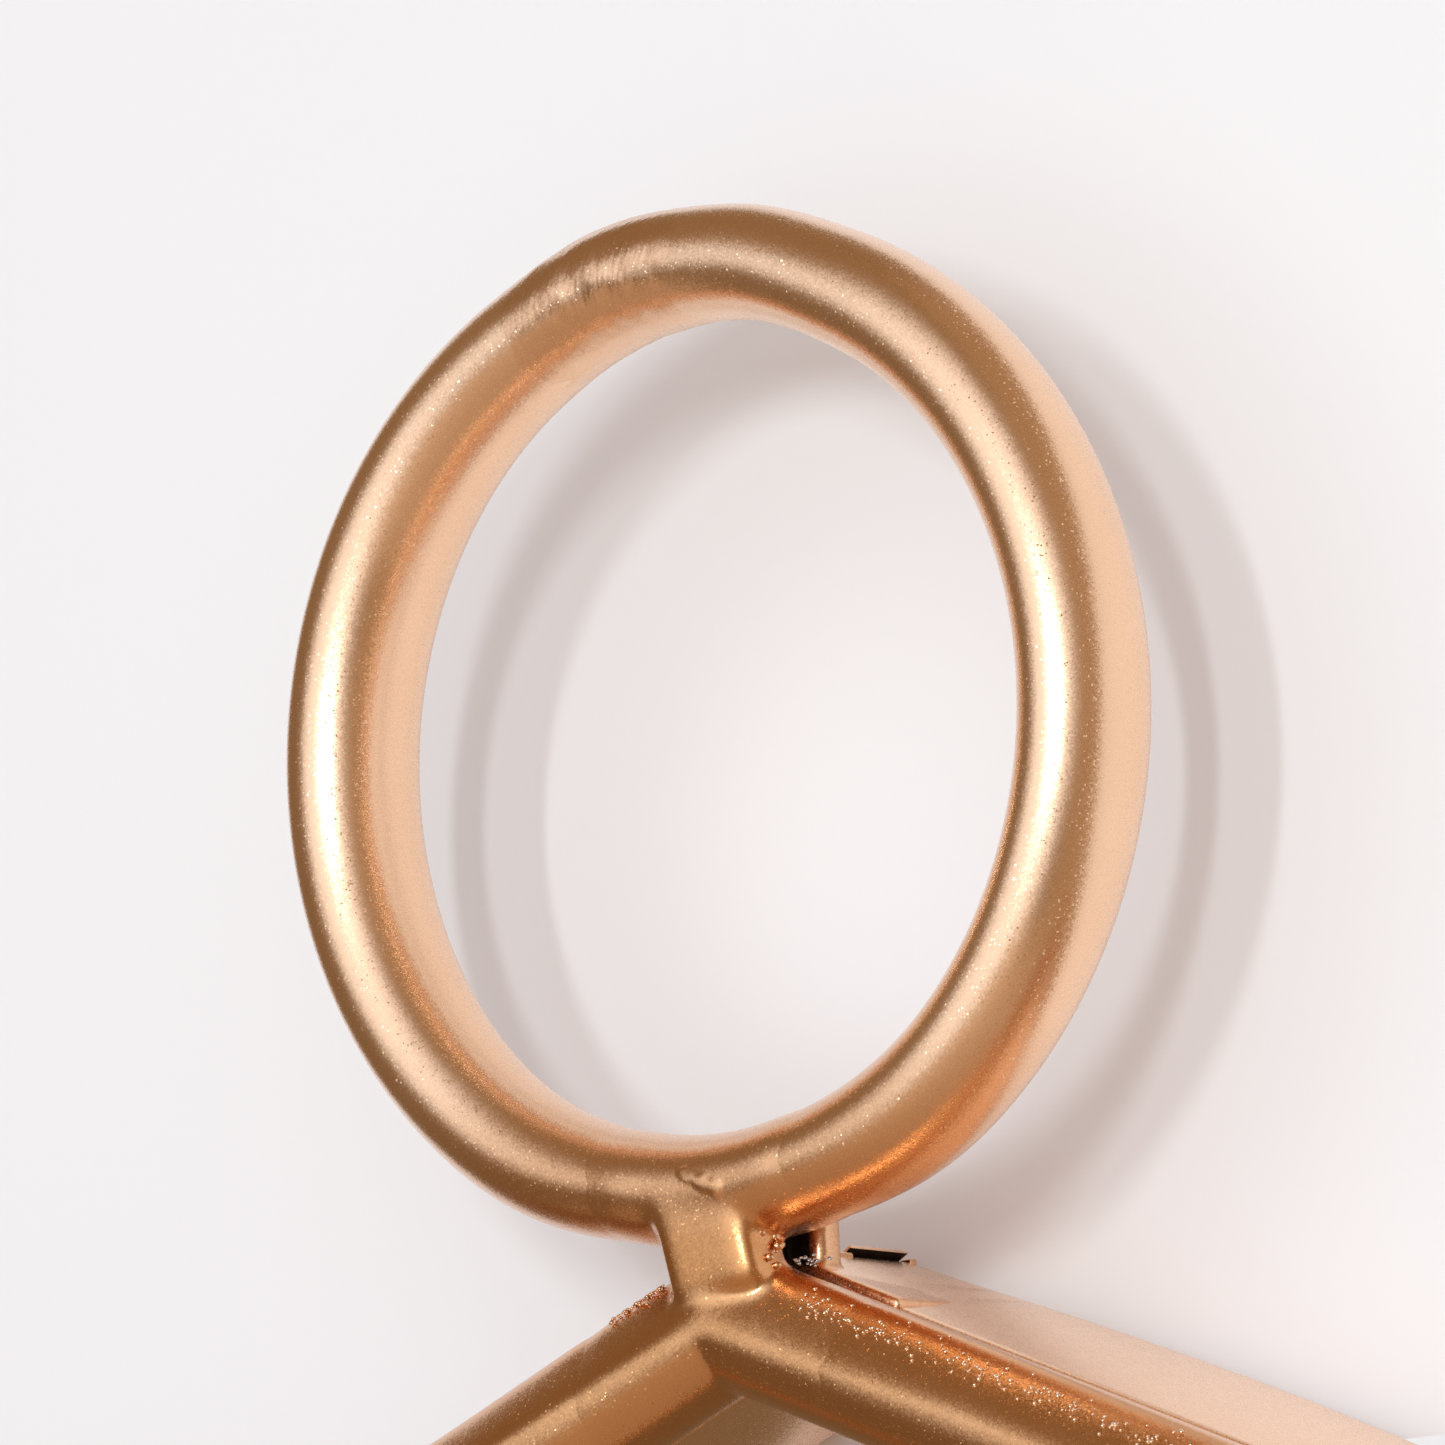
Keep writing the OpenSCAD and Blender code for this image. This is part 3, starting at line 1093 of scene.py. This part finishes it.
floor_z = cad_box[0][2] - floor_drop
wall_y = bar_high.y + wall_gap
deselect_all()
bpy.ops.mesh.primitive_plane_add(
    size=1, rotation=(math.pi / 2, 0, 0),
    location=((wall_left + wall_right) / 2, wall_y, (wall_bottom + wall_top) / 2),
)
wall = bpy.context.object
wall.scale = (wall_right - wall_left, wall_top - wall_bottom, 1)
settle()
wall.name = "wall"
wall.data.materials.append(pale_stage("white_wall_emulsion", "#F7F4F5"))

deselect_all()
bpy.ops.mesh.primitive_plane_add(size=1, location=(0, wall_y - floor_depth / 2, floor_z))
floor = bpy.context.object
floor.scale = (floor_width, floor_depth, 1)
settle()
floor.name = "floor"
floor.data.materials.append(pale_stage("pale_floor_paint", "#F4E0CB"))

lamp_distance = 2.0
lamp_width = 0.08
lamp_height = 0.32
lamp_watts = 7.2
lamp_colour = (0.85, 0.97, 1.0)


def lamp(name, side, up):
    """A tall, narrow daylight lamp in front of the ring. Side and up are its slopes off the wall's
    normal."""
    data = bpy.data.lights.new(name, "AREA")
    data.shape = "RECTANGLE"
    data.size = lamp_width
    data.size_y = lamp_height
    data.energy = lamp_watts
    data.color = lamp_colour
    towards = Vector((side, -1, up)).normalized()
    holder = bpy.data.objects.new(name, data)
    holder.matrix_world = Matrix.Translation(Vector((0, 0, ring_z)) + towards * lamp_distance) \
        @ towards.to_track_quat("Z", "Y").to_matrix().to_4x4()
    bpy.context.collection.objects.link(holder)
    return holder


lamp("lamp_right", 0.49, 0.10)
lamp("lamp_middle", 0.21, 0.10)


# Where the window is, as an angle from straight ahead and a height, and how far it reaches
window_centre = (0.1, 0.15, 0)
window_half = (0.96, 0.75, 1)
room_low = [0.2, 0.13, 0.07, 1]
room_high = [0.27, 0.17, 0.085, 1]
room_right = [0.38, 0.25, 0.14, 1]
window_light = [1.15, 1.2, 1.29, 1]


def room_light():
    """The room before the wall: warm and dim, darkest on the left, with a wide window ahead."""
    world = bpy.data.worlds.new("room")
    bpy.context.scene.world = world
    world.use_nodes = True
    tree = world.node_tree
    direction = add_node(tree, "ShaderNodeTexCoord").outputs["Generated"]
    towards = add_node(tree, "ShaderNodeSeparateXYZ", {0: direction}).outputs

    ahead = add_node(tree, "ShaderNodeMath", {0: towards["Y"], 1: -1}, operation="MULTIPLY")
    turn = add_node(tree, "ShaderNodeMath", {
        0: towards["X"], 1: ahead.outputs[0],
    }, operation="ARCTAN2").outputs[0]

    # Distance from the window's middle, in halves of its width and height, squared
    place = add_node(tree, "ShaderNodeCombineXYZ", {"X": turn, "Y": towards["Z"]})
    off = add_node(tree, "ShaderNodeVectorMath", {
        0: place.outputs[0], 1: window_centre,
    }, operation="SUBTRACT")
    halves = add_node(tree, "ShaderNodeVectorMath", {
        0: off.outputs[0], 1: window_half,
    }, operation="DIVIDE").outputs[0]
    away = add_node(tree, "ShaderNodeVectorMath", {0: halves, 1: halves}, operation="DOT_PRODUCT")

    room = room_low
    for value, low, high, colour in (
        (towards["Z"], -0.5, 0.9, room_high),
        (turn, 0.7, 1.3, room_right),
        (away.outputs["Value"], 1.3, 0.25, window_light),
    ):
        share = add_node(tree, "ShaderNodeMapRange", {
            "Value": value, "From Min": low, "From Max": high,
        }, interpolation_type="SMOOTHSTEP")
        room = add_node(tree, "ShaderNodeMix", {
            "Factor": share.outputs["Result"], "A": room, "B": colour,
        }, data_type="RGBA").outputs["Result"]

    # The camera sees plain white past the wall's edges
    eye = add_node(tree, "ShaderNodeLightPath").outputs["Is Camera Ray"]
    light = add_node(tree, "ShaderNodeMix", {
        "Factor": eye, "A": room, "B": linear("#F0EEEF"),
    }, data_type="RGBA")
    tree.links.new(light.outputs["Result"], tree.nodes["Background"].inputs["Color"])


room_light()
bpy.context.scene.view_settings.view_transform = "Standard"
